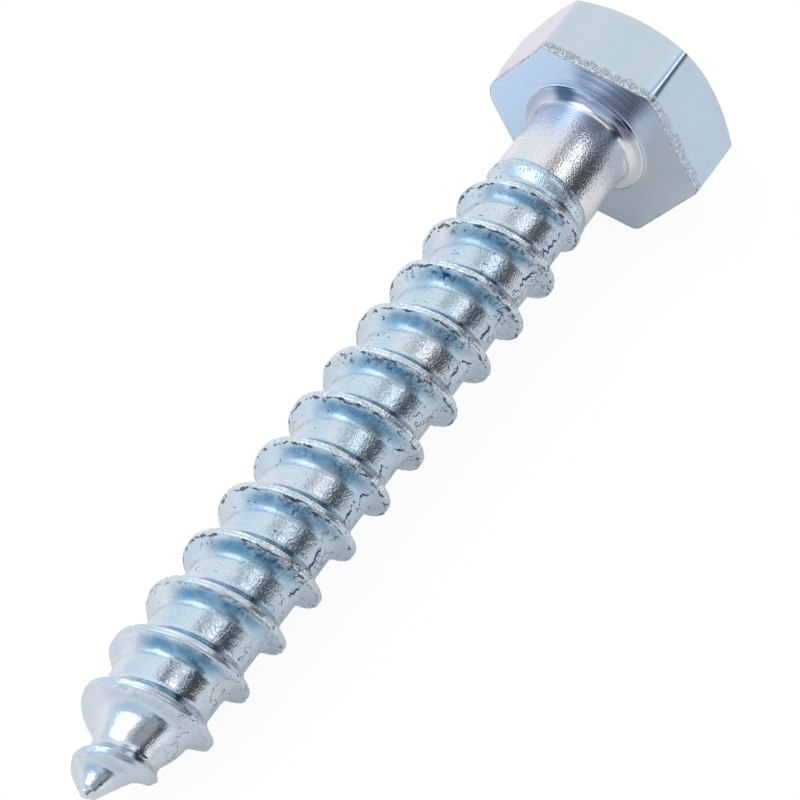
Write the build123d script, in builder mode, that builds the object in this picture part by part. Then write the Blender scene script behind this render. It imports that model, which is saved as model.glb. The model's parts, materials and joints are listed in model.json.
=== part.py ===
"""Lag screw: one forged and rolled steel piece, lying on its side as it comes to rest.

The screw is modelled upright in its own frame, with the middle of the bearing face at
the origin and the point along +Z. It is then laid down on one flat of its head and
one crest near the point. All sizes are in millimetres and all angles in degrees.
"""

import os
from math import atan, ceil, cos, degrees, radians, sin, sqrt, tan

from build123d import *

# Head
across_flats = 16.8
head_height = 6.5
head_corner_radius = 0.9
bearing_edge_chamfer = 0.15
crown_radius = 16.5  # of the ball that rounds the far edges off
crown_flat_radius = 7.6  # flat middle of the head's top

# Neck and shank
neck_radius = 5.2
neck_rim_height = 0.2
neck_height = 1.1
shank_diameter = 8.25
shank_length = 7.15  # from the bearing face to the swell

# Swell between the shank and the groove of the thread
swell_length = 0.3
swell_diameter = 8.5
groove_lead_in = 0.9  # over which the groove sinks from the swell to the root

# Thread
thread_diameter = 10.0
root_diameter = 7.5
pitch = 4.6
crest_width = 0.5
flank_angle = 33.0  # between a flank and a plane square to the axis
ridge_depth = 0.35  # how deep the ridge is sunk into the core
run_out_lead = 1.15  # how far before the swell's end the crest leaves the shank
run_out_length = 6.1  # over which the crest rises to the full diameter
ridge_lead = 0.3  # how far before it leaves the shank the ridge begins, below the surface
ridge_turn = 68.5  # place of its beginning round the axis, from the uppermost flat
stations_per_turn = 12

# Point
length_under_head = 67.6
point_length = 9.8  # over which the crests curve in
point_curve_radius = 12.8  # of that curve
cone_angle = 48.0  # included angle of the core's cone
tip_radius = 0.5  # of the cone where it would end, if it weren't blunted
blunt_radius = 0.2  # of the tip's small flat
blunt_length = 0.35  # over which the cone is blunted to that flat
ridge_end_gap = 0.95  # from the middle of the ridge's end to the end of the point

half_flats = across_flats / 2
shank_radius = shank_diameter / 2
thread_radius = thread_diameter / 2
root_radius = root_diameter / 2
swell_end = shank_length + swell_length
run_out_start = swell_end - run_out_lead
ridge_start = run_out_start - ridge_lead
point_start = length_under_head - point_length
half_cone = radians(cone_angle / 2)
cone_apex = length_under_head + tip_radius / tan(half_cone)

# Corners of the ridge's section, in order round it: side and level
RIDGE_CORNERS = ((-1, "foot"), (-1, "crest"), (1, "crest"), (1, "foot"))


def crest_radius(z):
    """Radius of the crest: a straight run-out, the full thread, then the curved-in point."""
    run_out = shank_radius + (thread_radius - shank_radius) * (z - run_out_start) / run_out_length
    into_point = max(z - point_start, 0)
    curved_in = point_curve_radius - sqrt(point_curve_radius**2 - into_point**2)
    return min(run_out, thread_radius - curved_in)


def foot_radius(z):
    """Radius of the ridge's foot, sunk into the core, but no nearer the axis than the tip's flat."""
    core_radius = min(root_radius, (cone_apex - z) * tan(half_cone))
    return max(core_radius - ridge_depth, blunt_radius)


def ridge_corner(turn, side, level):
    """Corner of the ridge's section after so many turns; side -1 faces the head, 1 the point."""
    z = ridge_start + pitch * turn
    radius = crest_radius(z) if level == "crest" else foot_radius(z)
    half_width = crest_width / 2 + (crest_radius(z) - radius) * tan(radians(flank_angle))
    angle = radians(ridge_turn + 360 * turn)
    return Vector(radius * cos(angle), radius * sin(angle), z + side * half_width)


def ridge_section(turn):
    """The corners of the ridge's section, in order round it."""
    return [ridge_corner(turn, side, level) for side, level in RIDGE_CORNERS]


def ridge_strips(first_turn, last_turn):
    """The helical faces of one length of the ridge, ruled between its corner edges."""
    span = last_turn - first_turn
    stations = [first_turn + span * i / stations_per_turn for i in range(stations_per_turn + 1)]
    edges = [
        Spline(*corner_points, mode=Mode.PRIVATE)
        for corner_points in zip(*(ridge_section(turn) for turn in stations))
    ]
    return [
        Face.make_surface_from_curves(edge, following)
        for edge, following in zip(edges, edges[1:] + edges[:1])
    ]


def thread_ridge():
    """The helical ridge as one closed solid, from its run-out to the end of the point."""
    turns = (length_under_head - ridge_end_gap - ridge_start) / pitch
    lengths = ceil(turns)
    faces = []
    for i in range(lengths):
        faces += ridge_strips(turns * i / lengths, turns * (i + 1) / lengths)
    for end in (0, turns):
        faces.append(Face(Wire.make_polygon(ridge_section(end))))
    return Solid(Shell(faces))


with BuildPart() as upright:
    # Hexagon with rounded corners, its far edges rounded off by the crown
    with BuildSketch(Plane.XY.offset(-head_height)):
        RegularPolygon(half_flats, 6, major_radius=False, rotation=30)
        fillet(vertices(), head_corner_radius)
    extrude(amount=head_height)
    chamfer(faces().sort_by(Axis.Z)[-1].edges(), bearing_edge_chamfer)
    with Locations((0, 0, sqrt(crown_radius**2 - crown_flat_radius**2) - head_height)):
        Sphere(crown_radius, mode=Mode.INTERSECT)

    # Neck, shank, swell, core and point as one turned shape
    with BuildSketch(Plane.XZ):
        with BuildLine():
            Polyline((0, 0), (neck_radius, 0), (neck_radius, neck_rim_height))
            Bezier(
                (neck_radius, neck_rim_height),
                (shank_radius, neck_rim_height),
                (shank_radius, neck_height),
            )
            Polyline(
                (shank_radius, neck_height),
                (shank_radius, shank_length),
                (swell_diameter / 2, swell_end),
                (root_radius, swell_end + groove_lead_in),
                (root_radius, cone_apex - root_radius / tan(half_cone)),
                (tip_radius + blunt_length * tan(half_cone), length_under_head - blunt_length),
                (blunt_radius, length_under_head),
                (0, length_under_head),
                (0, 0),
            )
        make_face()
    revolve(axis=Axis.Z)

    add(thread_ridge())

# Laid on the flat that faces -X and the crest on that side that the floor meets first
first_low_crest = ridge_start + pitch * ((180 - ridge_turn) % 360) / 360
low_crests = [first_low_crest + pitch * i for i in range(int(point_start / pitch) + 1)]
rest_tilt = degrees(atan(min((half_flats - crest_radius(z)) / z for z in low_crests)))
lying = upright.part.rotate(Axis.Y, -90 - rest_tilt)
bounds = lying.bounding_box()

with BuildPart() as lag_screw:
    with Locations((-bounds.center().X, -bounds.center().Y, -bounds.min.Z)):
        add(lying)

lag_screw.part.label = "lag_screw"
os.makedirs("parts", exist_ok=True)
export_step(lag_screw.part, "parts/lag_screw.step")
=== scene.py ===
"""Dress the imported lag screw: its forged head, rolled thread and zinc plate, on a pale stage."""

import json
from collections import namedtuple
from math import cos, degrees, pi, radians, sin, sqrt, tan

import bmesh
import bpy
import numpy as np
from bpy.props import FloatProperty, FloatVectorProperty, IntProperty, PointerProperty
from bpy.types import Operator, Panel, PropertyGroup
from mathutils import Matrix, Vector


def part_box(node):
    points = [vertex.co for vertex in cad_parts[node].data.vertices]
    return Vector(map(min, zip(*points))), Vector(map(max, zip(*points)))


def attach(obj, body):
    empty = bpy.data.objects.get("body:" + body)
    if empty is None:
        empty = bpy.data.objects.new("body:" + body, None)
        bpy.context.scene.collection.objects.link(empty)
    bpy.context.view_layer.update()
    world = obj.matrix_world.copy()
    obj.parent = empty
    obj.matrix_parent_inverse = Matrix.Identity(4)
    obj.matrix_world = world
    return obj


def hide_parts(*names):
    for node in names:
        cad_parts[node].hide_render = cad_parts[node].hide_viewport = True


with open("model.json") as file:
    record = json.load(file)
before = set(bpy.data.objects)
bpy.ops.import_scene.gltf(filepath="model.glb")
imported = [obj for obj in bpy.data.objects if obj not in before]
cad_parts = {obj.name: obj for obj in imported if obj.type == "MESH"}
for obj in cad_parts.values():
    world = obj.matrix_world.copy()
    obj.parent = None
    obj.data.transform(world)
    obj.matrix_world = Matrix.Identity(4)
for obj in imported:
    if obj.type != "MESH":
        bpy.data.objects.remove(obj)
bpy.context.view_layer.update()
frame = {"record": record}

bl_info = {
    "name": "Zinc-plated lag screw",
    "version": (1, 0, 0),
    "blender": (4, 5, 0),
    "location": "3D View > Sidebar > Lag Screw",
    "description": "Builds the worn, zinc-plated surface of a lag screw around its CAD solid",
    "category": "Object",
}

CAD_NODE = "lag_screw"
MOUNTS = {mount["name"]: mount for mount in frame["record"]["mounts"]}

# The screw's own frame: along its axis from the bearing face, up through its uppermost flat
AXIS = np.array(MOUNTS["bearing_face"]["axis"])
UP = np.array(MOUNTS["wrench_flat_upper"]["axis"])
SIDE = np.cross(AXIS, UP)
ON_AXIS = np.array(MOUNTS["lag_thread"]["pos_m"])
ORIGIN = ON_AXIS - AXIS * np.dot(ON_AXIS - np.array(MOUNTS["bearing_face"]["pos_m"]), AXIS)
LENGTH_UNDER_HEAD = float((ORIGIN[0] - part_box(CAD_NODE)[0].x) / -AXIS[0])


def length(name, description, default, **more):
    """A property that holds a length in metres."""
    return FloatProperty(
        name=name, description=description, default=default, unit="LENGTH", precision=5, **more
    )


def tone(name, description, default):
    """A property that holds a colour."""
    return FloatVectorProperty(
        name=name, description=description, default=default, size=3, subtype="COLOR"
    )


class HeadSizes(PropertyGroup):
    """The forged head"""

    across_flats: length("Across flats", "Between two opposite flats", 0.01645)
    height: length("Head height", "From the bearing face to the flat of the top", 0.0065)
    crown_radius: length("Crown radius", "Ball that rounds the far edges off", 0.0165)
    crown_flat_radius: length("Crown flat", "Radius of the flat middle of the top", 0.0076)
    corner_radii: FloatVectorProperty(
        name="Corner radii",
        description="Rounding of the six corners, counter-clockwise from 30 degrees off the top",
        default=(0.0004, 0.0010, 0.0008, 0.0008, 0.0005, 0.0006),
        size=6,
        unit="LENGTH",
        precision=5,
    )
    underfill: FloatVectorProperty(
        name="Corner underfill",
        description="How far each corner is short of metal at the bearing face",
        default=(0.0001, 0.0008, 0.0004, 0.0001, 0.0001, 0.0001),
        size=6,
        unit="LENGTH",
        precision=5,
    )
    edge_break: length("Edge break", "Rounding of the bearing face's rim", 0.00016)
    drop: length("Drop", "How far the head sits below the shank's axis", 0.00018)
    shift: length("Shift", "How far the head sits to one side of the shank's axis", -0.00037)


class ShankSizes(PropertyGroup):
    """The neck, the plain shank and the swell after it"""

    neck_radius: length("Neck radius", "Rim of the flare under the head", 0.0052)
    neck_rim_height: length("Neck rim", "Height of the flare's rim", 0.0002)
    neck_height: length("Neck height", "Over which the flare narrows to the shank", 0.0011)
    radius: length("Shank radius", "Plain shank", 0.004125)
    plain_length: length("Shank length", "From the bearing face to the swell", 0.0071)
    swell_length: length("Swell length", "From the end of the plain shank to the groove", 0.0006)
    swell_radius: length("Swell radius", "Where the groove begins", 0.00428)
    groove_lead_in: length("Groove lead-in", "Over which the groove sinks to the root", 0.0010)


class ThreadSizes(PropertyGroup):
    """The rolled thread and the point"""

    radius: length("Thread radius", "Outside radius at the full crest", 0.0050)
    root_radius: length("Root radius", "Radius between the ridges", 0.00377)
    pitch: length("Pitch", "From crest to crest", 0.004607)
    crest_width: length("Crest width", "Flat of the crest", 0.00046)
    flank_angle: FloatProperty(
        name="Flank angle",
        description="Between a flank and a plane square to the axis",
        default=radians(29),
        subtype="ANGLE",
    )
    foot_step: length("Foot step", "Height of the faint edge at the foot of a flank", 0.00003)
    root_fillet: length("Root fillet", "Size of the fillets between flank and root", 0.00095)
    first_crest: length("First crest", "Where the crest crosses the top line", 0.005078)
    run_out_start: length("Run-out start", "Where the crest leaves the shank", 0.0063)
    run_out_length: length("Run-out length", "Over which the crest rises", 0.0061)
    length_under_head: length("Length under head", "To the end of the point", LENGTH_UNDER_HEAD)
    point_length: length("Point length", "Over which the crests curve in", 0.0089)
    point_end_radius: length("Point end", "Radius of the crests' curve at the very end", 0.00105)
    cone_angle: FloatProperty(
        name="Cone angle",
        description="Included angle of the core's cone",
        default=radians(45),
        subtype="ANGLE",
    )
    cone_start: length("Cone start", "Where the core begins to narrow", 0.0599)
    cone_lean: length("Cone lean", "How far the cone bulges to its full side", 0.00034)
    cone_lean_turn: FloatProperty(
        name="Cone's full side",
        description="From the top line, counter-clockwise",
        default=radians(-110),
        subtype="ANGLE",
    )
    tip_radius: length("Tip radius", "Rounding of the very end", 0.00055)
    columns: IntProperty(
        name="Columns", description="Faces round the screw", default=176, min=24
    )


class ZincColours(PropertyGroup):
    """The zinc plate, its films and blemishes, and colours that paint reflections and sheen on it
    """

    plate: tone("Plate", "Bright zinc with its faint blue passivation", (0.555, 0.665, 0.76))
    pale: tone("Pale plate", "Where the passivation is thinnest", (0.735, 0.715, 0.745))
    # Painted reflection: one side face of the head and the upper part of the bearing face
    bluish_reflection: tone("Bluish plate", "Where the passivation is thicker", (0.56, 0.72, 0.93))
    satin: tone("Satin plate", "The head's sides and top", (0.515, 0.61, 0.675))
    # Painted dark reflection: the fan on the bearing face and a spot on the neck's flare
    violet_reflection: tone("Violet film", "Thick film beside the neck", (0.17, 0.19, 0.27))
    # Painted reflection: the dark band on the upper side of the neck's flare
    flare: tone("Flare", "Film on the neck's flare", (0.36, 0.44, 0.60))
    # Painted reflection: one side face of the head, pinkish white
    flush: tone("Pink flush", "Interference colour on one side of the head", (0.86, 0.62, 0.76))
    # Partly blue film, partly painted dark reflection gathered on one side of the screw
    film: tone("Blue film", "Gathered in the corners under the ridges", (0.12, 0.30, 0.46))
    worn: tone("Worn crest", "Rubbed crests", (0.57, 0.65, 0.73))
    # Also a painted sheen, low on one side of the neck and shank
    burr_and_sheen: tone("Burr", "Bright burrs and rubbed metal", (0.90, 0.93, 0.95))
    pit: tone("Pit", "Dark pits, nicks and marks", (0.03, 0.045, 0.06))
    # Also painted dark reflection: one of the two spots on the neck's flare
    crack: tone("Crack", "Cracks and scratches in the film", (0.02, 0.07, 0.18))


class StageSizes(PropertyGroup):
    """The floor, the camera and the lamp"""

    floor_width: length("Floor width", "Side of the square floor", 3.0)
    floor_colour: tone("Floor", "Pale floor", (0.86, 0.86, 0.86))
    lens: FloatProperty(
        name="Lens", description="Focal length on a 36 mm sensor", default=175.06, unit="CAMERA"
    )
    camera_target: FloatVectorProperty(
        name="Camera target",
        description="Along the screw's axis from the bearing face, above it and to its side",
        default=(0.029337, 0.001932, -0.0016),
        size=3,
        subtype="XYZ",
        unit="LENGTH",
        precision=5,
    )
    camera_distance: length("Camera distance", "From the target", 0.281955)
    camera_azimuth: FloatProperty(
        name="Azimuth", description="Round the object", default=radians(-61.24), subtype="ANGLE"
    )
    camera_elevation: FloatProperty(
        name="Elevation", description="Above the floor", default=radians(53.17), subtype="ANGLE"
    )
    camera_roll: FloatProperty(
        name="Roll", description="Tilt of the picture", default=radians(4.10), subtype="ANGLE"
    )
    lamp_size: length("Lamp size", "Side of the soft square lamp", 0.42)
    lamp_distance: length("Lamp distance", "From the screw's middle", 0.55)
    lamp_power: FloatProperty(
        name="Lamp power", description="Power of the lamp", default=0.55, unit="POWER"
    )


# ---------------------------------------------------------------- the screw's surface

LATTICE = 32  # random values along each side of the lattice for uneven surfaces
STEP_HEIGHT = 0.05e-3  # of the short step where the plain shank ends
SEAM_TURN = 240 / 360  # place of the grid's seam, as a share of a turn from the top line
SIDE_ROWS = 34  # rows of the head before its bearing face

ScrewGrid = namedtuple("ScrewGrid", "turn_share angle radius place phase region on_head")


def smooth_greater(first, second, blend):
    """The greater of two radii; the corner between them is filled by blend / 4 at its middle."""
    overlap = np.maximum(blend - np.abs(first - second), 0)
    return np.maximum(first, second) + overlap**2 / (4 * blend)


def smooth_lesser(first, second, blend):
    """The lesser of two radii, with the corner between them cut off in the same way."""
    return -smooth_greater(-first, -second, blend)


def ease(start, end, place):
    """Rises from 0 to 1 between two places, level at both: 3 t squared less 2 t cubed."""
    t = np.clip((place - start) / (end - start), 0, 1)
    return t * t * (3 - 2 * t)


def lumps(points, cell, seed):
    """Smooth noise from -1 to 1: random values on a cubic lattice of this cell, eased between."""
    values = np.random.default_rng(seed).uniform(-1, 1, (LATTICE, LATTICE, LATTICE))
    place = points / cell + (LATTICE + 1) / 2
    low = np.floor(place).astype(int)
    t = place - low
    t = t * t * (3 - 2 * t)
    total = 0
    for corner in np.ndindex(2, 2, 2):
        i, j, k = ((low + corner) % LATTICE).transpose(2, 0, 1)
        share = np.prod(np.where(corner, t, 1 - t), axis=-1)
        total = total + share * values[i, j, k]
    return total


def rounded_hexagon(angle, half_flats, radii):
    """Radius of a hexagon with a flat at angle 0 and six corner roundings.

    Near a corner it is the far side of a circle that touches both flats; elsewhere it is the
    flat's line, half_flats over the cosine of the angle from the flat's middle.
    """
    sixth = pi / 3
    corner = np.floor((angle % (2 * pi)) / sixth).astype(int)
    from_corner = (angle % sixth) - sixth / 2
    radius = np.asarray(radii)[corner % 6]
    centre = (half_flats - radius) / cos(sixth / 2)
    on_flat = half_flats / np.cos(sixth / 2 - np.abs(from_corner))
    touch = sixth / 2 - np.arctan((half_flats - radius) * tan(sixth / 2) / half_flats)
    inside = np.maximum(radius**2 - (centre * np.sin(from_corner)) ** 2, 0)
    on_corner = centre * np.cos(from_corner) + np.sqrt(inside)
    return np.where(np.abs(from_corner) < touch, on_corner, on_flat)


def head_rows(angle, head, shank):
    """Angle, radius and place of the head's rows, from the top's middle to the neck's rim.

    Rows run out over the flat top, down the ball-shaped crown to each flat's scalloped edge,
    down the sides to the bearing face's rim, and in over that face. The sides ease in towards
    that rim at the underfilled corners. The columns crowd together at the six corners, by a
    sine of six times the angle.
    """
    half_flats = head.across_flats / 2
    crowded = angle - 0.8 / 6 * np.sin(6 * (angle - pi / 6))
    side = rounded_hexagon(crowded, half_flats, head.corner_radii)
    short = rounded_hexagon(
        crowded, half_flats, np.add(head.corner_radii, np.multiply(2.4, head.underfill))
    )
    ball_centre = sqrt(head.crown_radius**2 - head.crown_flat_radius**2) - head.height
    angles, radii, places = [], [], []

    def row(radius, place, spread=0.0):
        angles.append(crowded + spread * (angle - crowded))
        radii.append(radius + 0 * angle)
        places.append(place + 0 * angle)

    for share in np.linspace(0, 1, 9):
        row(share * head.crown_flat_radius, -head.height)
    for share in np.linspace(0, 1, 9)[1:]:
        radius = head.crown_flat_radius + share * (side - head.crown_flat_radius)
        row(radius, ball_centre - np.sqrt(head.crown_radius**2 - radius**2))
    top_edge = places[-1]
    for share in (0.012, 0.05, 0.12, 0.22, 0.34, 0.46, 0.58, 0.69, 0.79, 0.87, 0.93, 0.965):
        place = top_edge * (1 - share) - head.edge_break * share
        row(side + (short - side) * ease(-0.0030, 0, place), place)
    for turn in np.linspace(0, pi / 2, 5):
        row(short - head.edge_break * (1 - cos(turn)), -head.edge_break * (1 - sin(turn)))
    rim = radii[-1]
    for share in np.linspace(0, 1, 15)[1:]:
        row(rim + share * (shank.neck_radius - rim), 0, share)
    return np.array(angles), np.array(radii), np.array(places)


def neck_rows(angle, shank):
    """Radius and place of the rows of the neck's flare.

    The flare is a quadratic curve: it leaves the rim inwards and meets the shank along it.
    """
    rim = shank.neck_rim_height
    profile = [(shank.neck_radius, rim * share) for share in (0.15, 0.85, 1)]
    for t in np.linspace(0, 1, 13)[1:]:
        radius = (1 - t) ** 2 * shank.neck_radius + (1 - (1 - t) ** 2) * shank.radius
        profile.append((radius, rim + t * t * (shank.neck_height - rim)))
    radii, places = np.array(profile).T[:, :, None] + 0 * angle
    return radii, places


def core_radius(place, angle, shank, thread):
    """Radius under the ridge: shank, step and swell, sunk groove, root, then the point's cone.

    The cone leans: a cosine of the angle round the axis makes it fuller on one side.
    """
    swell = np.clip((place - shank.plain_length) / shank.swell_length, 0, 1)
    swell_end = shank.plain_length + shank.swell_length
    step = STEP_HEIGHT * ease(shank.plain_length - 0.05e-3, shank.plain_length + 0.08e-3, place)
    before = shank.radius + step + (shank.swell_radius - shank.radius - STEP_HEIGHT) * swell
    sunk = ease(swell_end - 0.0002, swell_end + shank.groove_lead_in, place)
    cylinder = before + (thread.root_radius - before) * sunk
    into_cone = place - thread.cone_start
    lean = thread.cone_lean * np.cos(angle - thread.cone_lean_turn)
    lean = lean * (1 - 0.8 * ease(0.0030, 0.0077, into_cone))
    cone = thread.root_radius - into_cone * tan(thread.cone_angle / 2) + lean
    return smooth_lesser(cylinder, cone, 0.0004)


def crest_radius(place, shank, thread):
    """Radius of the crest: a straight rise, the full thread, then a fall as place to the 1.5."""
    rise = (thread.radius - shank.radius) / thread.run_out_length
    run_out = shank.radius + rise * (place - thread.run_out_start)
    into_point = np.maximum(place - thread.length_under_head + thread.point_length, 0)
    fall = thread.radius - thread.point_end_radius
    curve = thread.radius - fall * (into_point / thread.point_length) ** 1.5
    return smooth_lesser(run_out, curve, 0.0002)


def thread_radius(place, angle, from_crest, shank, thread):
    """Radius of the threaded part.

    A flat crest with straight flanks stands on the core, the corners of the crest slightly
    rounded and the feet of the flanks filled; the foot on the point's side ends in a faint edge.
    Near the end everything stays inside a blunt cone, and at the end inside a small ball.
    """
    crest = crest_radius(place, shank, thread)
    fall = (np.abs(from_crest) - thread.crest_width / 2) / tan(thread.flank_angle)
    ridge = smooth_lesser(crest, crest - fall, 0.00010)
    core = core_radius(place, angle, shank, thread)
    sunk = thread.foot_step * ease(0.2e-3, 0.7e-3, from_crest)
    whole = np.maximum(smooth_greater(ridge, core - sunk, thread.root_fillet + 2 * sunk), core)
    to_end = thread.length_under_head - place
    blunt = (to_end + 0.05e-3) * (1.75 + 0.25 * np.cos(angle - thread.cone_lean_turn))
    ball = np.where(
        to_end < thread.tip_radius,
        np.sqrt(np.maximum(to_end * (2 * thread.tip_radius - to_end), 0)),
        blunt,
    )
    return np.minimum(smooth_lesser(whole, blunt, 0.0003), ball)


def rolled_wear(points, from_crest, height, place, shank):
    """How far wear and rolling marks move the rolled surface out, in metres.

    The crest is uneven along its length, with a fold between its two lips; its edges are
    dented; the swell is covered by a net of small pits; the root is slightly wavy.
    """
    on_crest = height**3
    uneven = 0.07e-3 * lumps(points, 2.6e-3, 1) + 0.03e-3 * lumps(points, 0.9e-3, 2)
    fold_depth = 0.055e-3 * np.clip(0.55 + 1.3 * lumps(points, 3.1e-3, 3), 0, 1)
    fold_line = from_crest + 0.06e-3 * lumps(points, 1.1e-3, 4)
    fold = -fold_depth * np.exp(-((fold_line / 0.075e-3) ** 2))
    lips = np.exp(-(((np.abs(from_crest) - 0.27e-3) / 0.13e-3) ** 2))
    dents = -0.13e-3 * lips * np.clip(2.2 * lumps(points, 0.42e-3, 5) - 0.75, 0, 1)
    swell_end = shank.plain_length + shank.swell_length
    on_swell = ease(shank.plain_length, shank.plain_length + 0.1e-3, place) * (
        1 - ease(swell_end - 0.3e-3, swell_end + 0.3e-3, place)
    )
    net = np.abs(lumps(points, 0.34e-3, 6))
    pits = -0.025e-3 * on_swell * np.clip(1 - 3.2 * net, 0, 1)
    waves = 0.018e-3 * lumps(points, 1.3e-3, 7) + 0.012e-3 * lumps(points, 0.5e-3, 8)
    return on_crest * (uneven + fold) + (height > 0.3) * dents + pits + waves


def thread_places(turn_share, thread):
    """Places along the axis of the rows of the threaded part, which follow its helix.

    Each row keeps its distance from the crest and climbs one pitch per turn. Before the first
    of them the rows fan out from one level ring, and after the last they close on another.
    """
    # Distances from the crest's middle in millimetres, closer where the surface bends
    on_crest = [0, 0.07, 0.14, 0.20, 0.26]
    before = [0.34, 0.45, 0.59, 0.76, 0.95, 1.16, 1.40, 1.67, 1.97]
    after = [0.36, 0.52, 0.70, 0.88, 1.06, 1.24, 1.37, 1.46, 1.80, thread.pitch * 500]
    back = -np.array((on_crest[1:] + before)[::-1])
    from_crest = np.concatenate([back, on_crest, after]) * 1e-3
    start = thread.first_crest + thread.pitch * SEAM_TURN
    last = thread.length_under_head - thread.tip_radius - thread.pitch
    rows = (start + thread.pitch * np.arange(-1, 15)[:, None] + from_crest).ravel()
    rows = np.sort(rows[(rows > start - 0.72e-3) & (rows < last)])
    per_turn = len(from_crest)
    spread = rows[: per_turn + 1] - rows[0]
    lead_in = rows[0] + spread[:, None] * turn_share
    helical = rows[:, None] + thread.pitch * turn_share
    closing = np.append(0, rows[-per_turn:] + thread.pitch - rows[-1])
    lead_out = rows[-1] + closing[:, None] + (thread.pitch - closing[:, None]) * turn_share
    return np.concatenate([lead_in[:-1], helical[:-1], lead_out])


def rolled_rows(turn_share, angle, shank, thread):
    """Radius, place and phase of the threaded part's rows, to the very end of the point.

    The phase is the cosine and sine of the turns from the crest's line, then the height: 0 on
    the core and 1 on the crest. Rows crowd together at the point's end, by a sine.
    """
    place = thread_places(turn_share, thread)
    start, last = place[0, 0], place[-1, 0]
    tip_share = np.linspace(0, 1, 9)[1:, None]
    tip = last + (thread.length_under_head - last) * np.sin(tip_share * pi / 2) + 0 * angle
    place = np.concatenate([place, tip])
    turns = (place - thread.first_crest) / thread.pitch - SEAM_TURN - turn_share
    from_crest = (turns - np.round(turns)) * thread.pitch
    radius = thread_radius(place, angle, from_crest, shank, thread)
    core = core_radius(place, angle, shank, thread)
    rise = crest_radius(place, shank, thread) - core
    height = ease(0, 0.4e-3, rise) * np.clip((radius - core) / np.maximum(rise, 0.05e-3), 0, 1)
    points = np.stack([radius * np.cos(angle), radius * np.sin(angle), place], axis=-1)
    fade = ease(0, 1.5e-3, thread.length_under_head - place) * ease(0, 0.2e-3, place - start)
    radius = radius + fade * rolled_wear(points, from_crest, height, place, shank)
    radius[-1] = 0
    phase = np.stack([np.cos(2 * pi * turns), np.sin(2 * pi * turns), height], axis=-1)
    return radius, place, phase


def level_rows(places, angle, shank, thread):
    """Radius and place of level rows on the core."""
    places = np.array(places)[:, None] + 0 * angle
    return core_radius(places, angle, shank, thread), places


def screw_grid(head, shank, thread):
    """Every point of the grid that covers the screw, from the head's top to the point's end.

    A point has an angle round the axis, a radius and a place along the axis, worked out by the
    rows of its part of the screw, and the number of its finish.
    """
    turn_share = np.linspace(0, 1, thread.columns + 1)
    angle = 2 * pi * (SEAM_TURN + turn_share)
    head_angle, *forged = head_rows(angle, head, shank)
    neck = neck_rows(angle, shank)
    plain = np.linspace(shank.neck_height, shank.plain_length - 0.09e-3, 14)[1:]
    plain = level_rows(plain, angle, shank, thread)
    *rolled, phase = rolled_rows(turn_share, angle, shank, thread)
    rolling_start = rolled[1][0, 0]
    step = shank.plain_length + np.array([-0.05, -0.03, 0, 0.03, 0.06, 0.10]) * 1e-3
    step = np.append(step, np.linspace(step[-1], rolling_start, 4)[1:-1])
    step = level_rows(step, angle, shank, thread)
    sections = (forged, neck, plain, step, rolled)
    radius, place = (np.concatenate(column) for column in zip(*sections))
    head_count, neck_count, plain_count, step_count, rolled_count = (
        len(section[0]) for section in sections
    )
    angle = np.concatenate([head_angle, np.tile(angle, (len(radius) - head_count, 1))])
    level = np.zeros((len(radius) - rolled_count, *phase.shape[1:]))
    region = np.repeat(
        [0, 1, 2, 3],
        [
            SIDE_ROWS,
            head_count - SIDE_ROWS,
            neck_count + plain_count,
            step_count + rolled_count,
        ],
    )
    return ScrewGrid(
        turn_share=turn_share,
        angle=angle,
        radius=radius,
        place=place,
        phase=np.concatenate([level, phase]),
        region=region,
        on_head=np.arange(len(radius))[:, None] < head_count,
    )


def weld_grid(name, points, uv, region, guides):
    """A closed mesh from a grid of points: quads between neighbours, seam and poles welded."""
    rows, columns = points.shape[:2]
    corner = np.arange(rows * columns).reshape(rows, columns)
    quads = np.stack(
        [corner[:-1, :-1], corner[:-1, 1:], corner[1:, 1:], corner[1:, :-1]], axis=-1
    ).reshape(-1, 4)
    mesh = bpy.data.meshes.new(name)
    mesh.from_pydata(points.reshape(-1, 3), [], quads.tolist())
    layer = mesh.uv_layers.new(name="around_along")
    layer.data.foreach_set("uv", uv.reshape(-1, 2)[quads.ravel()].ravel())
    mesh.polygons.foreach_set("material_index", np.repeat(region[1:], columns - 1))
    for label, values in guides.items():
        attribute = mesh.attributes.new(label, "FLOAT_VECTOR", "POINT")
        attribute.data.foreach_set("vector", values.ravel())
    shape = bmesh.new()
    shape.from_mesh(mesh)
    bmesh.ops.remove_doubles(shape, verts=shape.verts, dist=2e-8)
    bmesh.ops.recalc_face_normals(shape, faces=shape.faces)
    open_edges = sum(not edge.is_manifold for edge in shape.edges)
    shape.to_mesh(mesh)
    shape.free()
    mesh.polygons.foreach_set("use_smooth", np.ones(len(mesh.polygons), bool))
    if open_edges:
        raise RuntimeError(f"{name} has {open_edges} open edges")
    return mesh


# ---------------------------------------------------------------- finishes


def around(turn):
    """Unit vector square to the screw's axis, so many degrees round it from the top line."""
    return (cos(radians(turn)), sin(radians(turn)), 0)


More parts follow.
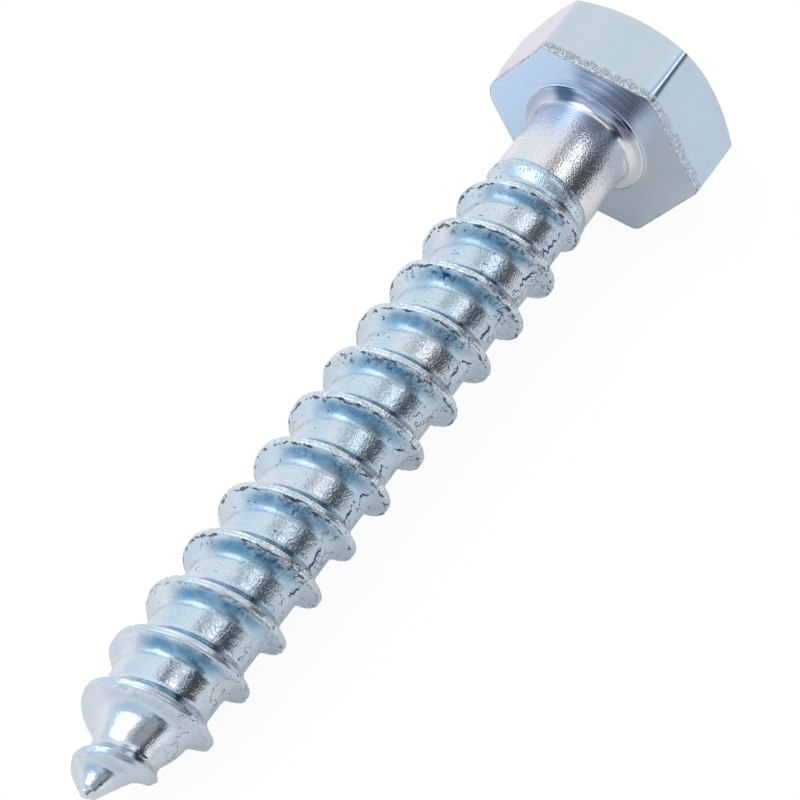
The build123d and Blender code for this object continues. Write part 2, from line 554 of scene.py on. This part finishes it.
class Wiring:
    """A node tree being wired: each call adds nodes and returns the last one or its result."""

    def __init__(self, tree):
        self.tree = tree
        tree.nodes.clear()

    def add(self, kind, inputs=None, **settings):
        """A node with its settings, its inputs set to values or linked to sockets."""
        node = self.tree.nodes.new(kind)
        for key, value in settings.items():
            setattr(node, key, value)
        for key, value in (inputs or {}).items():
            if isinstance(value, bpy.types.NodeSocket):
                self.tree.links.new(value, node.inputs[key])
            else:
                node.inputs[key].default_value = value
        return node

    def math(self, operation, *values):
        """One sum on numbers or sockets."""
        return self.add("ShaderNodeMath", dict(enumerate(values)), operation=operation).outputs[0]

    def times(self, first, *others):
        """The product of numbers or sockets."""
        for other in others:
            first = self.math("MULTIPLY", first, other)
        return first

    def away_from(self, value, middle):
        """How far a value is from a middle one, either way."""
        return self.math("ABSOLUTE", self.math("SUBTRACT", value, middle))

    def vector(self, operation, *values, result="Vector"):
        """One sum on vectors."""
        node = self.add("ShaderNodeVectorMath", dict(enumerate(values)), operation=operation)
        return node.outputs[result]

    def dot(self, place, direction):
        """How far a place reaches in a direction."""
        return self.vector("DOT_PRODUCT", place, direction, result="Value")

    def part(self, vector, axis):
        """The X, Y or Z part of a vector."""
        return self.add("ShaderNodeSeparateXYZ", {0: vector}).outputs[axis]

    def band(self, value, low, high, start=0.0, end=1.0):
        """Eases from start to end while the value goes from low to high."""
        node = self.add(
            "ShaderNodeMapRange",
            {"Value": value, "From Min": low, "From Max": high, "To Min": start, "To Max": end},
            interpolation_type="SMOOTHSTEP",
        )
        return node.outputs["Result"]

    def guide(self, name):
        """A vector that the mesh carries."""
        return self.add("ShaderNodeAttribute", attribute_name=name).outputs["Vector"]

    def noise(self, vector, scale, detail=2.0, stretch=(1, 1, 1)):
        """Noise of so many cells per millimetre, stretched in the screw's own frame."""
        moved = self.add("ShaderNodeMapping", {"Vector": vector, "Scale": stretch})
        node = self.add(
            "ShaderNodeTexNoise",
            {"Vector": moved.outputs[0], "Scale": scale, "Detail": detail, "Roughness": 0.6},
        )
        return node.outputs["Fac"]

    def mix(self, share, first, second):
        """Mixes two colours."""
        node = self.add("ShaderNodeMix", data_type="RGBA")
        for place, value in ((0, share), (6, first), (7, second)):
            if isinstance(value, bpy.types.NodeSocket):
                self.tree.links.new(value, node.inputs[place])
            else:
                node.inputs[place].default_value = value if place == 0 else (*value, 1)
        return node.outputs[2]

    def relief(self, height, distance, before=None):
        """Bump from a height map, on top of what came before."""
        inputs = {"Height": height, "Distance": distance}
        if before is not None:
            inputs["Normal"] = before
        return self.add("ShaderNodeBump", inputs).outputs[0]


def metal(name, shade):
    """A metal whose wiring is done by shade, which returns the surface's inputs."""
    material = bpy.data.materials.new(name)
    material.use_nodes = True
    wiring = Wiring(material.node_tree)
    surface = wiring.add("ShaderNodeBsdfPrincipled", {"Metallic": 1.0, **shade(wiring)})
    wiring.add("ShaderNodeOutputMaterial", {"Surface": surface.outputs[0]})
    return material


# In the finishes, own is a point's place in millimetres: up, to the side and along the screw


def forged_zinc(colours):
    """Head's top and sides: smooth plate with faint cloudiness, painted reflections on two side
    faces, burrs beside the bearing face.
    """

    def shade(wiring):
        own = wiring.guide("own_place")
        clouds = wiring.noise(own, 0.35, 3.0)
        colour = wiring.mix(wiring.band(clouds, 0.3, 0.7, 0.0, 0.25), colours.satin, colours.pale)
        # Painted reflections: one side face of the head pinkish white, the face on the other side
        # of the top bluish
        for turn, tint, share in ((60, colours.flush, 0.5), (-60, colours.bluish_reflection, 0.45)):
            on_side = wiring.band(wiring.dot(own, around(turn)), 7.4, 8.0, 0.0, share)
            colour = wiring.mix(on_side, colour, tint)

        # Burrs and nicks in a strip of uneven width along the bearing face's rim
        from_face = wiring.math(
            "MULTIPLY_ADD", wiring.noise(own, 0.9, 2.0), 1.1, wiring.part(own, "Z")
        )
        near_face = wiring.band(from_face, -0.25, 0.05)
        ragged = wiring.noise(own, 4.2, 4.0, (1, 1, 0.6))
        torn = wiring.times(near_face, wiring.band(ragged, 0.48, 0.60))
        nicks = wiring.times(near_face, wiring.band(ragged, 0.34, 0.44, 0.75, 0.0))
        colour = wiring.mix(nicks, colour, colours.pit)
        colour = wiring.mix(wiring.times(torn, 0.5), colour, colours.burr_and_sheen)
        bumps = wiring.relief(wiring.noise(own, 14.0, 3.0), 0.000004)
        return {
            "Base Color": colour,
            "Roughness": wiring.band(clouds, 0.2, 0.8, 0.24, 0.32),
            "Normal": wiring.relief(torn, 0.00018, bumps),
        }

    return metal("forged_zinc", shade)


def turned_zinc(colours):
    """Bearing face: rings left by turning, which stretch reflections across themselves, a painted
    dark reflection fanning out above the neck and a brighter painted reflection on its upper part.
    """

    def shade(wiring):
        own = wiring.guide("own_place")
        flat = wiring.vector("MULTIPLY", own, (1, 1, 0))
        radius = wiring.vector("LENGTH", flat, result="Value")
        ring = wiring.add("ShaderNodeCombineXYZ", {0: radius}).outputs[0]
        clouds = wiring.band(wiring.noise(own, 0.25), 0.35, 0.65, 0.6, 0.9)
        colour = wiring.mix(clouds, colours.pale, colours.plate)
        # Painted reflection: the upper part of the face brighter and bluer
        upper = wiring.band(wiring.dot(own, around(39.7)), -3.0, 4.0)
        colour = wiring.mix(upper, colour, colours.bluish_reflection)

        # A painted dark reflection fanning out above the neck, broken up into rings
        fan = wiring.dot(wiring.vector("NORMALIZE", flat), around(-13.9))
        streaks = wiring.band(wiring.noise(ring, 4.5, 2.0), 0.35, 0.65, 0.35, 1.0)
        painted_reflection = wiring.times(wiring.band(fan, 0.86, 0.985), streaks)
        tangent = wiring.add("ShaderNodeTangent", direction_type="UV_MAP", uv_map="around_along")
        return {
            "Base Color": wiring.mix(painted_reflection, colour, colours.violet_reflection),
            "Roughness": 0.17,
            "Anisotropic": 0.9,
            "Anisotropic Rotation": 0.25,
            "Tangent": tangent.outputs[0],
            "Normal": wiring.relief(wiring.noise(ring, 5.0, 3.0), 0.00006),
        }

    return metal("turned_zinc", shade)


def drawn_zinc(colours):
    """Neck and plain shank: fine grain that breaks up reflections, painted dark reflections on the
    flare and a painted sheen low on one side.
    """

    def shade(wiring):
        own = wiring.guide("own_place")
        along = wiring.part(own, "Z")
        clouds = wiring.band(wiring.noise(own, 0.4), 0.3, 0.7, 0.75, 1.0)
        colour = wiring.mix(clouds, colours.plate, colours.pale)
        # Painted reflection: a dark blue-grey band on the upper side of the flare
        upper = wiring.band(wiring.dot(own, around(22.4)), 0.0, 2.5)
        flare_reflection = wiring.times(wiring.band(along, 0.25, 0.9, 0.8, 0.0), upper)
        colour = wiring.mix(flare_reflection, colour, colours.flare)
        # Painted sheen: the side beneath brightened towards the bright burr colour
        painted_bright_side = wiring.band(wiring.dot(own, around(75)), -4.0, -2.5, 0.7, 0.0)
        colour = wiring.mix(painted_bright_side, colour, colours.burr_and_sheen)
        # Painted dark reflections: two dark spots on the flare
        on_flare = wiring.band(along, 0.4, 1.0, 1.0, 0.0)
        for middle, tint in (
            ((4.3, 1.9, 0.2), colours.crack),
            ((3.4, -3.3, 0.5), colours.violet_reflection),
        ):
            away = wiring.vector("DISTANCE", own, middle, result="Value")
            painted_reflection = wiring.times(wiring.band(away, 0.45, 1.5, 0.85, 0.0), on_flare)
            colour = wiring.mix(painted_reflection, colour, tint)
        grain = wiring.noise(own, 7.5, 0.8)
        on_shank = wiring.band(along, 0.9, 1.8, 0.1, 1.0)
        speckle = wiring.times(wiring.band(grain, 0.25, 0.40, 0.2, 0.0), on_shank)
        return {
            "Base Color": wiring.mix(speckle, colour, colours.pit),
            "Roughness": 0.10,
            "Normal": wiring.relief(wiring.times(grain, on_shank), 0.00003),
        }

    return metal("drawn_zinc", shade)


RolledPlace = namedtuple("RolledPlace", "own along from_crest height film_side rough_part")


def rolled_place(wiring, pitch):
    """Where a point of the rolled surface is, in the terms by which its marks are placed.

    from_crest is in millimetres along the screw, more on the point's side; height is 0 on the
    core and 1 on the crest; the side share is 1 where the film and a painted dark reflection
    gather.
    """
    own, phase = wiring.guide("own_place"), wiring.guide("phase")
    along = wiring.part(own, "Z")
    turn = wiring.math("ARCTAN2", wiring.part(phase, "Y"), wiring.part(phase, "X"))
    outwards = wiring.vector("NORMALIZE", wiring.vector("MULTIPLY", own, (1, 1, 0)))
    return RolledPlace(
        own=own,
        along=along,
        from_crest=wiring.times(turn, pitch * 1000 / (2 * pi)),
        height=wiring.part(phase, "Z"),
        film_side=wiring.dot(outwards, around(-10)),
        rough_part=wiring.band(along, 46.0, 56.0, 1.0, 0.12),
    )


def blue_film_and_reflection(wiring, at):
    """Where film and a painted dark reflection cover the point's side of the ridges, and how
    strong they are there.
    """
    wander = wiring.math("MULTIPLY_ADD", wiring.noise(at.own, 1.1, 3.0), 0.4, at.from_crest)
    covered = wiring.times(
        wiring.band(wander, 0.42, 0.80), wiring.band(at.from_crest, 1.47, 1.52, 1.0, 0.0)
    )
    film = wiring.times(
        covered,
        wiring.band(at.from_crest, 0.7, 1.25, 1.0, 0.4),
        # Painted dark reflection: the blue shows almost only on one side of the screw
        wiring.band(at.film_side, 0.5, 0.9, 0.05, 0.92),
        wiring.band(wiring.noise(at.own, 0.7, 3.0), 0.3, 0.6, 0.55, 1.0),
        wiring.band(at.along, 56.5, 60.5, 1.0, 0.25),
        wiring.band(at.along, 8.3, 9.3),
    )
    return covered, film


def edge_marks(wiring, at):
    """Dark marks along the crest's edge: stretches of a wandering line of uneven width."""
    line = wiring.math("MULTIPLY_ADD", wiring.noise(at.own, 0.9, 5.0), 0.42, 0.10)
    width = wiring.band(wiring.noise(at.own, 1.4, 7.0), 0.40, 0.66, -0.03, 0.06)
    outside = wiring.math("SUBTRACT", wiring.away_from(at.from_crest, line), width)
    return wiring.times(
        wiring.band(outside, 0.0, 0.02, 1.0, 0.0), at.rough_part, wiring.band(at.height, 0.1, 0.3)
    )


def fine_pits(wiring, at):
    """Fine pitting in patches under the crest."""
    return wiring.times(
        wiring.band(at.from_crest, 0.28, 0.42),
        wiring.band(at.from_crest, 0.65, 0.95, 1.0, 0.0),
        wiring.band(wiring.noise(at.own, 3.0, 4.0), 0.47, 0.58),
        wiring.band(wiring.noise(at.own, 0.4, 2.0), 0.47, 0.56),
        wiring.band(at.film_side, 0.3, 0.6),
        at.rough_part,
        0.7,
    )


def round_pits(wiring, at):
    """Small round pits on the swell."""
    cells = wiring.add("ShaderNodeTexVoronoi", {"Vector": at.own, "Scale": 4.0})
    return wiring.times(
        wiring.band(cells.outputs["Distance"], 0.15, 0.36, 1.0, 0.0),
        wiring.band(at.along, 7.8, 8.3, 1.0, 0.0),
    )


def hairlines(wiring, at):
    """Short hairline cracks in patches on one side, where a noise crosses its middle value."""
    jagged = wiring.away_from(wiring.noise(at.own, 0.62, 4.0, (1, 1, 0.8)), 0.52)
    return wiring.times(
        wiring.band(jagged, 0.005, 0.012, 1.0, 0.0),
        wiring.band(wiring.part(at.own, "Y"), -3.5, -2.9, 1.0, 0.0),
        wiring.band(wiring.noise(at.own, 0.45), 0.46, 0.52),
    )


def splits(wiring, at):
    """A wider jagged crack along each land, on the same side."""
    level = wiring.vector("MULTIPLY", at.own, (0, 0, 1))
    line = wiring.math("MULTIPLY_ADD", wiring.noise(level, 1.1, 4.0), 3.2, -1.6)
    width = wiring.band(wiring.noise(at.own, 0.55, 2.0), 0.42, 0.58, -0.02, 0.15)
    off_line = wiring.away_from(wiring.dot(at.own, around(21.2)), line)
    return wiring.times(
        wiring.band(wiring.math("SUBTRACT", off_line, width), -0.03, 0.02, 1.0, 0.0),
        wiring.band(wiring.part(at.own, "Y"), -2.5, -2.2, 1.0, 0.0),
        wiring.band(at.height, 0.2, 0.5, 1.0, 0.0),
        wiring.band(at.along, 9.0, 10.0),
        at.rough_part,
    )


def scratches(wiring, at):
    """Short scratches that run round the screw."""
    unrolled = wiring.add("ShaderNodeUVMap", uv_map="around_along").outputs[0]
    stroke = wiring.away_from(wiring.noise(unrolled, 29.0, 1.0, (0.35, 1.0, 1.0)), 0.5)
    return wiring.times(
        wiring.band(stroke, 0.006, 0.015, 1.0, 0.0),
        wiring.band(wiring.noise(at.own, 1.3, 1.0), 0.62, 0.66),
        at.rough_part,
    )


def rolled_zinc(colours, pitch):
    """Swell, thread and point: bright crests, blue film and painted dark reflection in the corners
    under them, pits and cracks.
    """

    def shade(wiring):
        at = rolled_place(wiring, pitch)
        clouds = wiring.band(wiring.noise(at.own, 0.22, 3.0), 0.45, 0.7, 0.0, 0.7)
        colour = wiring.mix(clouds, colours.plate, colours.pale)
        near_end = wiring.band(at.along, 57.0, 61.0, 0.0, 0.35)
        colour = wiring.mix(near_end, colour, colours.pale)
        # Blue film in the corners under the ridges, with painted dark reflection on one side of
        # the screw
        covered, film = blue_film_and_reflection(wiring, at)
        colour = wiring.mix(film, colour, colours.film)

        # Crests worn bright, with small burrs where they are rough, and dark marks beside them
        crest = wiring.band(at.height, 0.86, 0.97)
        rough_crest = wiring.times(crest, at.rough_part)
        burrs = wiring.band(wiring.noise(at.own, 4.5, 3.0), 0.50, 0.60, 0.0, 0.7)
        colour = wiring.mix(crest, colour, colours.worn)
        colour = wiring.mix(wiring.times(burrs, rough_crest), colour, colours.burr_and_sheen)
        marks = edge_marks(wiring, at)
        colour = wiring.mix(wiring.times(marks, 0.85), colour, colours.pit)
        colour = wiring.mix(fine_pits(wiring, at), colour, colours.pit)
        cracks = wiring.math("MAXIMUM", hairlines(wiring, at), splits(wiring, at))
        cracks = wiring.math("MAXIMUM", cracks, scratches(wiring, at))
        colour = wiring.mix(cracks, colour, colours.crack)

        # Grain on the root and the crests, nearly none on the flanks, finer towards the point
        coarse = wiring.band(at.along, 50.0, 59.0, 1.0, 0.5)
        grainy = wiring.math(
            "MAXIMUM", wiring.band(at.height, 0.02, 0.10, 1.0, 0.2), rough_crest
        )
        grainy = wiring.times(wiring.math("MAXIMUM", grainy, wiring.times(film, 0.8)), coarse)
        grain = wiring.times(wiring.noise(at.own, 5.5, 3.0, (1, 1, 0.8)), grainy)
        speckle = wiring.band(wiring.noise(at.own, 7.0, 3.0), 0.30, 0.45, 0.25, 0.0)
        colour = wiring.mix(wiring.times(speckle, grainy), colour, colours.pit)
        dots = round_pits(wiring, at)
        colour = wiring.mix(wiring.times(dots, 0.3), colour, colours.pit)

        bumps = wiring.relief(wiring.noise(at.own, 1.2, 2.0), 0.00002)
        bumps = wiring.relief(grain, 0.00004, bumps)
        bumps = wiring.relief(wiring.math("SUBTRACT", 1.0, dots), 0.00003, bumps)
        bumps = wiring.relief(wiring.math("SUBTRACT", 1.0, marks), 0.00005, bumps)
        rough = wiring.band(wiring.noise(at.own, 2.6, 4.0), 0.3, 0.8, 0.10, 0.20)
        dull_crest = wiring.times(crest, wiring.band(at.along, 46.0, 58.0, 0.12, 0.26))
        dull = wiring.math("MAXIMUM", dull_crest, wiring.times(covered, 0.12))
        return {
            "Base Color": colour,
            "Roughness": wiring.math("ADD", wiring.times(rough, coarse), dull),
            "Normal": bumps,
        }

    return metal("rolled_zinc", shade)


# ---------------------------------------------------------------- operators


class LAGSCREW_OT_screw(Operator):
    """Build the screw's worn surface in place of its CAD solid"""

    bl_idname = "lagscrew.screw"
    bl_label = "Build Screw"

    def execute(self, context):
        scene = context.scene
        head, shank, thread = scene.lag_head, scene.lag_shank, scene.lag_thread
        grid = screw_grid(head, shank, thread)
        off_centre = grid.on_head * ease(shank.neck_radius, shank.neck_radius * 1.15, grid.radius)
        up = grid.radius * np.cos(grid.angle) - head.drop * off_centre
        side = grid.radius * np.sin(grid.angle) + head.shift * off_centre
        points = (
            ORIGIN + up[..., None] * UP + side[..., None] * SIDE + grid.place[..., None] * AXIS
        )
        own = np.stack([up, side, grid.place], axis=-1) * 1000
        around_it = grid.turn_share + 0 * grid.radius
        uv = np.stack([around_it, grid.place / (2 * pi * thread.radius)], axis=-1)
        mesh = weld_grid(
            "zinc_lag_screw", points, uv, grid.region, {"own_place": own, "phase": grid.phase}
        )
        colours = scene.lag_colours
        for finish in (
            forged_zinc(colours),
            turned_zinc(colours),
            drawn_zinc(colours),
            rolled_zinc(colours, thread.pitch),
        ):
            mesh.materials.append(finish)
        screw = bpy.data.objects.new("zinc_lag_screw", mesh)
        scene.collection.objects.link(screw)
        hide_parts(CAD_NODE)
        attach(screw, "root")
        return {"FINISHED"}


class LAGSCREW_OT_stage(Operator):
    """Set the pale floor, the soft light and the camera"""

    bl_idname = "lagscrew.stage"
    bl_label = "Set Stage"

    def execute(self, context):
        scene = context.scene
        build_floor(scene.lag_stage)
        light_world(scene)
        hang_lamp(scene.lag_stage)
        place_camera(scene, scene.lag_stage)
        scene.view_settings.view_transform = "Standard"
        return {"FINISHED"}


# The floor glows for the camera, so that it looks white with a soft shadow, and glows a little
# for gloss, more behind the screw and away from it than near its front
CAMERA_SHARE = 0.13  # of the floor's colour, which the camera sees under the glow
CAMERA_GLOW = 0.91
GLOSS_GLOW = 0.10
GLOSS_GAIN = 0.22


def build_floor(stage):
    """A square floor at height 0: pale in itself, white to the camera and grey to gloss."""
    mesh = bpy.data.meshes.new("floor")
    half = stage.floor_width / 2
    corners = [(-half, -half, 0), (half, -half, 0), (half, half, 0), (-half, half, 0)]
    mesh.from_pydata(corners, [], [(0, 1, 2, 3)])
    material = bpy.data.materials.new("pale_floor")
    material.use_nodes = True
    wiring = Wiring(material.node_tree)
    path = wiring.add("ShaderNodeLightPath")
    camera, gloss = path.outputs["Is Camera Ray"], path.outputs["Is Glossy Ray"]
    own = wiring.add("ShaderNodeTexCoord").outputs["Object"]
    behind = wiring.band(wiring.part(own, "Y"), -0.01, 0.03)
    reach = wiring.vector("LENGTH", own, result="Value")
    clear = wiring.math("MAXIMUM", behind, wiring.band(reach, 0.05, 0.11))
    strength = wiring.times(gloss, wiring.math("MULTIPLY_ADD", clear, GLOSS_GAIN, GLOSS_GLOW))
    strength = wiring.math("MULTIPLY_ADD", camera, CAMERA_GLOW, strength)
    seen = [CAMERA_SHARE * part for part in stage.floor_colour]
    colour = wiring.mix(camera, stage.floor_colour, seen)
    matt = wiring.add("ShaderNodeBsdfDiffuse", {"Color": colour})
    glow = wiring.add("ShaderNodeEmission", {"Strength": strength})
    both = wiring.add("ShaderNodeAddShader", {0: matt.outputs[0], 1: glow.outputs[0]})
    wiring.add("ShaderNodeOutputMaterial", {"Surface": both.outputs[0]})
    mesh.materials.append(material)
    floor = bpy.data.objects.new("floor", mesh)
    bpy.context.scene.collection.objects.link(floor)


def heading(azimuth, elevation):
    """Unit vector towards an azimuth and elevation in degrees; azimuth 0 is -Y and 90 is +X."""
    a, e = radians(azimuth), radians(elevation)
    return (sin(a) * cos(e), -cos(a) * cos(e), sin(e))


# Cards on the light tent: azimuth and elevation, cosines from the card's middle to the ends of
# its soft edge, how well it covers, and its colour. The last one is a bright window
CARDS = (
    ((-88, 18), (0.72, 0.96), 0.35, (0.30, 0.50, 0.70)),
    ((-50, 8), (0.91, 0.97), 1.0, (0.18, 0.22, 0.26)),
    ((62, 54), (0.86, 0.95), 0.65, (0.50, 0.55, 0.58)),
    ((36, 10), (0.94, 0.98), 1.0, (0.09, 0.10, 0.11)),
    ((-42, 46), (0.90, 0.97), 0.85, (0.32, 0.31, 0.33)),
    ((-78, 63), (0.93, 0.98), 0.5, (0.25, 0.27, 0.30)),
    ((85, 64), (0.985, 0.993), 0.9, (0.20, 0.20, 0.21)),
    ((56, 51), (0.984, 0.992), 1.0, (2.3, 2.35, 2.4)),
)
TENT_COLOURS = ((1.06, 1.09, 1.09), (0.85, 0.96, 1.04))  # on the right and on the left
GAP_COLOUR = (0.08, 0.085, 0.09)
GAP_COSINE = 0.309  # of the angle between the gap's middle and the table's middle
PLAIN_LIGHT = 0.75  # strength of the even light on matt surfaces


def light_world(scene):
    """A light tent with a dark gap above the table in front, grey cards and one bright window.

    The gap is the ring of directions about 72 degrees from the table's middle. Only gloss sees
    the tent: the camera sees plain white, and matt surfaces get even light.
    """
    world = bpy.data.worlds.new("light_tent")
    world.use_nodes = True
    world.cycles.sampling_method = "NONE"
    scene.world = world
    wiring = Wiring(world.node_tree)
    direction = wiring.add("ShaderNodeTexCoord").outputs["Generated"]
    in_front = wiring.band(wiring.dot(direction, heading(0, 25)), 0.20, 0.45)
    half_width = wiring.band(wiring.dot(direction, heading(30, 25)), 0.70, 0.98, 0.11, 0.19)
    from_gap = wiring.away_from(wiring.dot(direction, heading(12, -40)), GAP_COSINE)
    gap = wiring.band(wiring.math("SUBTRACT", from_gap, half_width), 0.0, 0.08, 1.0, 0.0)
    left = wiring.band(wiring.dot(direction, heading(-150, 10)), 0.2, 0.9)
    colour = wiring.mix(left, *TENT_COLOURS)
    colour = wiring.mix(wiring.times(gap, in_front), colour, GAP_COLOUR)
    for towards, edge, cover, shade in CARDS:
        card = wiring.band(wiring.dot(direction, heading(*towards)), *edge, 0.0, cover)
        colour = wiring.mix(card, colour, shade)
    glossy = wiring.add("ShaderNodeBackground", {"Color": colour, "Strength": 1.0})
    plain = wiring.add("ShaderNodeBackground", {"Color": (1, 1, 1, 1), "Strength": PLAIN_LIGHT})
    white = wiring.add("ShaderNodeBackground", {"Color": (1, 1, 1, 1), "Strength": 1.0})
    path = wiring.add("ShaderNodeLightPath")
    seen = wiring.add(
        "ShaderNodeMixShader",
        {0: path.outputs["Is Glossy Ray"], 1: plain.outputs[0], 2: glossy.outputs[0]},
    )
    whole = wiring.add(
        "ShaderNodeMixShader",
        {0: path.outputs["Is Camera Ray"], 1: seen.outputs[0], 2: white.outputs[0]},
    )
    wiring.add("ShaderNodeOutputWorld", {"Surface": whole.outputs[0]})


LAMP_HEADING = (-138, 56)  # azimuth and elevation of the soft lamp


def hang_lamp(stage):
    """A soft square lamp above and behind, aimed at the screw's middle."""
    lamp = bpy.data.objects.new("soft_lamp", bpy.data.lights.new("soft_lamp", "AREA"))
    lamp.data.size = stage.lamp_size
    lamp.data.energy = stage.lamp_power
    towards = Vector(heading(*LAMP_HEADING))
    lamp.location = towards * stage.lamp_distance
    lamp.rotation_euler = towards.to_track_quat("Z", "Y").to_euler()
    bpy.context.scene.collection.objects.link(lamp)


def place_camera(scene, stage):
    """Camera on an arc round its target, which lies a little off the middle of the screw."""
    camera_data = bpy.data.cameras.new("camera")
    camera_data.lens = stage.lens
    camera_data.clip_start, camera_data.clip_end = 0.01, 10
    camera = bpy.data.objects.new("camera", camera_data)
    back = Vector(heading(degrees(stage.camera_azimuth), degrees(stage.camera_elevation)))
    along, up, aside = stage.camera_target
    target = Vector(ORIGIN + along * AXIS + up * UP + aside * SIDE)
    roll = Matrix.Rotation(stage.camera_roll, 3, "Z")
    turn = (-back).to_track_quat("-Z", "Y").to_matrix() @ roll
    camera.matrix_world = Matrix.Translation(target + back * stage.camera_distance) @ turn.to_4x4()
    scene.collection.objects.link(camera)
    scene.camera = camera


class LAGSCREW_PT_sidebar(Panel):
    """The screw's sizes, colours and builders"""

    bl_label = "Lag Screw"
    bl_space_type = "VIEW_3D"
    bl_region_type = "UI"
    bl_category = "Lag Screw"

    def draw(self, context):
        for label, holder, operator in (
            ("Head", context.scene.lag_head, None),
            ("Shank", context.scene.lag_shank, None),
            ("Thread", context.scene.lag_thread, None),
            ("Zinc", context.scene.lag_colours, LAGSCREW_OT_screw),
            ("Stage", context.scene.lag_stage, LAGSCREW_OT_stage),
        ):
            box = self.layout.box()
            box.label(text=label)
            for key in holder.__annotations__:
                box.prop(holder, key)
            if operator:
                box.operator(operator.bl_idname)


HOLDERS = {
    "lag_head": HeadSizes,
    "lag_shank": ShankSizes,
    "lag_thread": ThreadSizes,
    "lag_colours": ZincColours,
    "lag_stage": StageSizes,
}
TOOLS = (LAGSCREW_OT_screw, LAGSCREW_OT_stage, LAGSCREW_PT_sidebar)


def register():
    for name, holder in HOLDERS.items():
        bpy.utils.register_class(holder)
        setattr(bpy.types.Scene, name, PointerProperty(type=holder))
    for tool in TOOLS:
        bpy.utils.register_class(tool)


def unregister():
    for tool in reversed(TOOLS):
        bpy.utils.unregister_class(tool)
    for name, holder in reversed(HOLDERS.items()):
        delattr(bpy.types.Scene, name)
        bpy.utils.unregister_class(holder)


def main():
    register()
    bpy.ops.lagscrew.screw()
    bpy.ops.lagscrew.stage()


if __name__ == "__main__":
    main()
